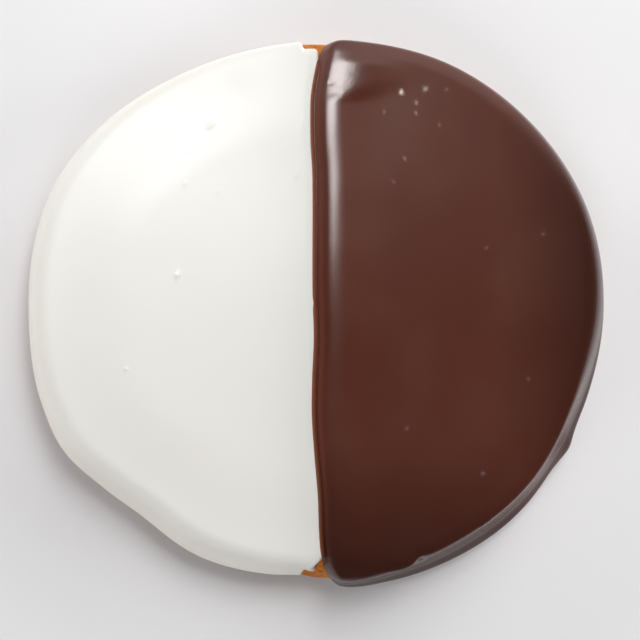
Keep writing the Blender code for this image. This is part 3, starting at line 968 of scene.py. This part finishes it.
@dataclass(frozen=True)
class FondantFinish:
    """Set white sugar icing: a soft shine, faintly warm patches and a very fine grain.

    It has painted shade beside the seam, and is warmer towards its lower edge and where it is thin.
    """

    plain: Colour = (0.80, 0.79, 0.755)
    warm: Colour = (0.80, 0.775, 0.72)
    shade: Colour = (0.66, 0.655, 0.625)
    rim: Colour = (0.82, 0.742, 0.635)

    def made(self, effects: Effects) -> bpy.types.Material:
        """Builds the material.

        Args:
            effects: The shared node groups.

        Returns:
            The finished material.
        """
        finish = Finish("white_fondant_set", effects)
        patches = finish.patches(60.0, 0.55, 0.85)
        colour = finish.nodes.blend(patches, self.plain, self.warm)
        # Beside the seam the shade colour is painted shade; the lower edge and thin places turn warmer.
        for name, toned in (("beside_lip", self.rim), ("beside_seam", self.shade), ("thin", self.warm)):
            colour = finish.nodes.blend(finish.tone(name), colour, toned)
        finish.feed("Base Color", colour)
        finish.roughness(patches, 0.36, 0.48)
        finish.grain((700.0, 2600.0), 0.4, 0.25, 0.05 * MM)
        finish.feed("IOR", 1.45)
        return finish.material


@dataclass(frozen=True)
class ChocolateFinish:
    """Set dark chocolate icing: glossy, with redder and duller clouds and painted shade towards -Y and +X.

    dark_south and dark_east give where the painted shade starts and where it is full, and strip_tone
    the same for the lighter strip beside the seam.
    """

    plain: Colour = (0.077, 0.020, 0.0115)
    light: Colour = (0.086, 0.025, 0.0145)
    edge: Colour = (0.26, 0.095, 0.05)
    strip: Colour = (0.118, 0.033, 0.020)
    # The colour of the painted glints on the small bubbles
    bubble_glint: Colour = (0.72, 0.58, 0.54)
    # The painted shade's colour towards -Y and +X
    dark: Colour = (0.036, 0.009, 0.0055)
    dark_south: tuple[float, float] = (-26 * MM, -49 * MM)
    dark_east: tuple[float, float] = (35 * MM, 52 * MM)
    strip_tone: tuple[float, float] = (0.7, 0.8)

    def made(self, effects: Effects) -> bpy.types.Material:
        """Builds the material.

        Args:
            effects: The shared node groups.

        Returns:
            The finished material.
        """
        finish = Finish("dark_chocolate_set", effects)
        nodes = finish.nodes
        clouds = finish.patches(45.0, 0.4, 0.7)
        beside_seam = finish.tone("beside_seam")
        place = nodes.split(finish.place)
        # Painted shade, darker towards -Y and towards +X
        painted_shade = nodes.combined("MAXIMUM", nodes.ranged(place["Y"], self.dark_south, soft=False),
                                  nodes.ranged(place["X"], self.dark_east, soft=False))
        colour = nodes.blend(clouds, self.plain, self.light)
        colour = nodes.blend(nodes.ranged(beside_seam, self.strip_tone), colour, self.strip)
        colour = nodes.blend(painted_shade, colour, self.dark)
        # Painted glints on the small bubbles
        colour = nodes.blend(finish.tone("pale"), colour, self.bubble_glint)
        edging = nodes.combined("MULTIPLY", finish.tone("thin"), beside_seam)
        finish.feed("Base Color", nodes.blend(edging, colour, self.edge))
        finish.roughness(clouds, 0.235, 0.265)
        finish.grain((420.0, 1900.0), 0.35, 0.05, 0.04 * MM)
        finish.feed("IOR", 1.58)
        return finish.material


@dataclass(frozen=True)
class CrumbFinish:
    """Baked cake: golden at the rim, browner from brown_from down, dull and open-pored."""

    golden: Colour = (0.44, 0.135, 0.022)
    brown: Colour = (0.24, 0.07, 0.016)
    pale: Colour = (0.50, 0.19, 0.042)
    brown_from: float = 7.5 * MM

    def made(self, effects: Effects) -> bpy.types.Material:
        """Builds the material.

        Args:
            effects: The shared node groups.

        Returns:
            The finished material.
        """
        finish = Finish("baked_golden_crumb", effects)
        nodes = finish.nodes
        patches = finish.patches(120.0, 0.35, 0.7)
        baked = nodes.ranged(nodes.split(finish.place)["Z"], (self.brown_from, 0.0))
        colour = nodes.blend(baked, nodes.blend(patches, self.golden, self.pale), self.brown)
        finish.feed("Base Color", nodes.blend(finish.patches(900.0, 0.5, 0.68), colour, self.brown))
        finish.roughness(patches, 0.78, 0.92)
        finish.grain((900.0, 3200.0), 0.5, 0.6, 0.25 * MM)
        finish.feed("Specular IOR Level", 0.2)
        return finish.material


def finished(name: str, body: bmesh.types.BMesh, material: bpy.types.Material, node: str) -> bpy.types.Object:
    """Turns a body into a dressed piece of the model.

    Args:
        name: The piece's name.
        body: Its closed body, which is used up.
        material: Its finish.
        node: The CAD node that it stands for.

    Returns:
        The new object, linked to the scene and hung from the root body.
    """
    mesh = bpy.data.meshes.new(name)
    body.to_mesh(mesh)
    body.free()
    mesh.shade_smooth()
    mesh.materials.append(material)
    piece = bpy.data.objects.new(name, mesh)
    bpy.context.scene.collection.objects.link(piece)
    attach(piece, "root")
    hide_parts(node)
    LOG.info("%s: %d faces for %s", name, len(mesh.polygons), node)
    return piece


@dataclass
class Cookie:
    """The whole cookie: its cake and the two halves of its icing."""

    form: CakeForm = field(default_factory=CakeForm)
    white_blemishes: tuple[Blemish, ...] = (
        Blemish(-25.3, 5.2, 0.16, 0.5, 0.4), Blemish(-20.5, 35.3, 0.16, 1.3, 0.5, 45),
        Blemish(-24.8, 29.2, -0.1, 0.4, 0.4), Blemish(-18.2, 21.5, 0.08, 0.45, 0.4),
        Blemish(-24.4, 22.8, 0.09, 0.45, 0.4), Blemish(-34.9, -12.3, 0.1, 0.45, 0.4),
        Blemish(-3.5, 25.6, 0.12, 0.9, 0.5, 80), Blemish(-2.5, 35.0, 0.12, 1.6, 0.4, 85),
    )
    # Those with pale carry a painted glint on a small bubble
    chocolate_blemishes: tuple[Blemish, ...] = (
        Blemish(17.0, 41.2, 0.12, 0.3, 0.3, pale=1.0), Blemish(21.3, 41.2, 0.08, 0.4, 0.35, pale=0.35),
        Blemish(19.8, 39.1, 0.06, 0.3, 0.3, pale=0.25), Blemish(19.7, 37.0, 0.05, 0.28, 0.28, pale=0.2),
        Blemish(13.7, 37.6, 0.05, 0.28, 0.28, pale=0.15), Blemish(17.3, 27.8, 0.05, 0.28, 0.28, pale=0.2),
        Blemish(24.0, 34.3, 0.04, 0.3, 0.3, pale=0.1), Blemish(25.0, 40.6, 0.04, 0.3, 0.3, pale=0.1),
        Blemish(15.1, 23.1, 0.04, 0.3, 0.3, pale=0.08), Blemish(32.1, 10.3, 0.04, 0.3, 0.3, pale=0.08),
        Blemish(42.7, 13.0, 0.04, 0.3, 0.3, pale=0.08), Blemish(40.1, -14.3, 0.04, 0.3, 0.3, pale=0.08),
        Blemish(17.2, -23.5, 0.05, 0.3, 0.3, pale=0.1), Blemish(31.1, -31.6, 0.05, 0.35, 0.3, pale=0.12),
        Blemish(31.5, -40.6, 0.14, 0.95, 0.8), Blemish(31.5, -40.6, -0.24, 0.45, 0.4),
        Blemish(20.0, -48.1, -0.55, 1.0, 0.85, 20), Blemish(16.7, -48.2, 0.28, 2.3, 0.9, 15),
        Blemish(3.3, 44.2, -0.045, 0.9, 0.5), Blemish(4.4, 42.0, -0.03, 1.5, 0.8),
    )

    def build(self, effects: Effects) -> list[bpy.types.Object]:
        """Builds and dresses every piece.

        Args:
            effects: The shared node groups.

        Returns:
            The cake, the white icing and the chocolate icing.
        """
        white = WhiteIcing(self.form, blemishes=self.white_blemishes)
        chocolate = ChocolateIcing(self.form, white=white, blemishes=self.chocolate_blemishes)
        parts = (
            ("baked_cake", BakedCake(self.form), CrumbFinish(), "cake_base", "cake"),
            ("white_glaze", white, FondantFinish(), "white_icing", "white_icing"),
            ("chocolate_glaze", chocolate, ChocolateFinish(), "chocolate_icing", "chocolate_icing"),
        )
        pieces = [finished(name, part.body(), finish.made(effects), node)
                  for name, part, finish, node, slot in parts]
        self.centre(pieces)
        return pieces

    def centre(self, pieces: list[bpy.types.Object]) -> None:
        """Moves the pieces so that the cookie's outline has the same middle as the CAD model's."""
        stacks = []
        for piece in pieces:
            points = np.empty(3 * len(piece.data.vertices), dtype=np.float32)
            piece.data.vertices.foreach_get("co", points)
            stacks.append(points.reshape(-1, 3))
        low = np.min([points.min(axis=0) for points in stacks], axis=0)
        high = np.max([points.max(axis=0) for points in stacks], axis=0)
        shift = (low + high) / 2 - (np.array(CAD_BOX[0]) + np.array(CAD_BOX[1])) / 2
        for piece, points in zip(pieces, stacks):
            points[:, :2] -= shift[:2]
            piece.data.vertices.foreach_set("co", points.ravel())
            piece.data.update()


@dataclass(frozen=True)
class Softbox:
    """One large soft light, aimed at the cookie.

    Attributes:
        name: The light's name.
        bearing: Where it stands, in degrees from +X towards +Y.
        height: Its elevation in degrees.
        power: Its power in watts.
        size: Its side in metres.
        shines: Whether it is only a highlight in glossy surfaces; otherwise it only lights them.
        distance: How far off it stands.
    """

    name: str
    bearing: float
    height: float
    power: float
    size: float = 0.45
    shines: bool = False
    distance: float = 1.0

    def place(self) -> None:
        """Adds the light to the scene."""
        lamp = bpy.data.lights.new(self.name, "AREA")
        lamp.size, lamp.energy = self.size, self.power
        holder = bpy.data.objects.new(self.name, lamp)
        bearing, height = math.radians(self.bearing), math.radians(self.height)
        way = Vector((math.cos(bearing) * math.cos(height), math.sin(bearing) * math.cos(height),
                      math.sin(height)))
        holder.visible_glossy = self.shines
        holder.visible_diffuse = not self.shines
        holder.location = way * self.distance
        holder.rotation_euler = way.to_track_quat("Z", "Y").to_euler()
        bpy.context.scene.collection.objects.link(holder)


@dataclass(frozen=True)
class Studio:
    """The pale floor, the lights and the sky.

    The sky's brightness goes by the parts of the direction: overhead it runs through sky_zenith as Y passes
    zenith_y, and low down through sky_horizon as X passes horizon_x, though only the share sky_aside of that
    is left where Y is within aside_reach of aside_y. level_z is where the low sky passes into the high one.
    """

    floor_radius: float = 2.5
    floor_colour: Colour = (0.80, 0.79, 0.80)
    floor_patches: float = 0.97
    sky_colour: Colour = (1.0, 1.0, 1.0)
    sky_zenith: tuple[float, float] = (0.05, 0.9)
    zenith_y: tuple[float, float] = (0.4, 0.54)
    sky_horizon: tuple[float, float] = (0.3, 0.9)
    horizon_x: tuple[float, float] = (-0.5, 0.3)
    sky_aside: float = 0.15
    aside_y: float = -0.25
    aside_reach: tuple[float, float] = (0.45, 0.53)
    level_z: tuple[float, float] = (0.15, 0.52)
    lights: tuple[Softbox, ...] = (
        Softbox("key_light", 60, 60, 5.2),
        Softbox("north_fill", 72, 35, 2.2),
        Softbox("south_fill", 270, 35, 2.5),
        Softbox("low_east", 0, 12, 5.3),
        Softbox("low_north_east", 45, 12, 5.6),
        Softbox("low_north_west", 140, 12, 5.2),
        Softbox("low_south_west", 222, 12, 3.2),
        Softbox("shine_light", 123, 58.5, 4.65, 0.27, shines=True),
    )

    def floor(self, effects: Effects) -> bpy.types.Object:
        """Builds the floor.

        Args:
            effects: The shared node groups.

        Returns:
            The floor, linked to the scene.
        """
        body = bmesh.new()
        bmesh.ops.create_circle(body, cap_ends=True, segments=96, radius=self.floor_radius)
        mesh = bpy.data.meshes.new("floor")
        body.to_mesh(mesh)
        body.free()
        finish = Finish("pale_floor", effects)
        darker = tuple(self.floor_patches * part for part in self.floor_colour)
        colour = finish.nodes.blend(finish.patches(3.0, 0.3, 0.7), self.floor_colour, darker)
        finish.feed("Base Color", colour)
        finish.feed("Roughness", 0.7)
        mesh.materials.append(finish.material)
        floor = bpy.data.objects.new("floor", mesh)
        bpy.context.scene.collection.objects.link(floor)
        return floor

    def sky(self) -> None:
        """Gives the world a sky that lights nothing and only shows in glossy surfaces."""
        world = bpy.data.worlds.new("soft_sky")
        bpy.context.scene.world = world
        world.use_nodes = True
        world.cycles_visibility.diffuse = False
        nodes = NodeTree(world.node_tree)
        way = nodes.split(nodes.add("ShaderNodeTexCoord").outputs["Generated"])
        zenith = nodes.ranged(way["Y"], self.zenith_y, self.sky_zenith)
        horizon = nodes.ranged(way["X"], self.horizon_x, self.sky_horizon)
        aside = nodes.combined("ABSOLUTE", nodes.combined("ADD", way["Y"], -self.aside_y))
        dimmed = nodes.ranged(aside, self.aside_reach, (self.sky_aside, 1.0))
        low = nodes.combined("MULTIPLY", horizon, dimmed)
        back = world.node_tree.nodes["Background"]
        nodes.feed(back.inputs["Color"], self.sky_colour)
        nodes.feed(back.inputs["Strength"], nodes.ranged(way["Z"], self.level_z, (low, zenith)))

    def build(self, effects: Effects) -> None:
        """Builds the floor, the lights and the sky."""
        self.floor(effects)
        for light in self.lights:
            light.place()
        self.sky()
        bpy.context.scene.view_settings.view_transform = "Standard"


@dataclass(frozen=True)
class PhotoCamera:
    """The camera, which looks almost straight down from the side of -Y."""

    target: tuple[float, float, float] = (0.785 * MM, -2.586 * MM, 10.5 * MM)
    height: float = 83.5
    distance: float = 215.6 * MM
    lens: float = 62.4

    def place(self) -> None:
        """Adds the camera and makes it the scene's own."""
        camera = bpy.data.cameras.new("photo_camera")
        camera.lens, camera.sensor_width = self.lens, 36.0
        camera.clip_start = 10 * MM
        holder = bpy.data.objects.new("photo_camera", camera)
        height = math.radians(self.height)
        way = Vector((0, -math.cos(height), math.sin(height)))
        holder.location = Vector(self.target) + way * self.distance
        holder.rotation_euler = (math.pi / 2 - height, 0, 0)
        bpy.context.scene.collection.objects.link(holder)
        bpy.context.scene.camera = holder


def main() -> None:
    """Builds the cookie and its studio."""
    logging.basicConfig(level=logging.INFO, format="%(message)s")
    effects = Effects(mottle_group(), grain_group())
    for piece in Cookie().build(effects):
        LOG.info("%s is in place", piece.name)
    Studio().build(effects)
    PhotoCamera().place()


if __name__ == "__main__":
    main()
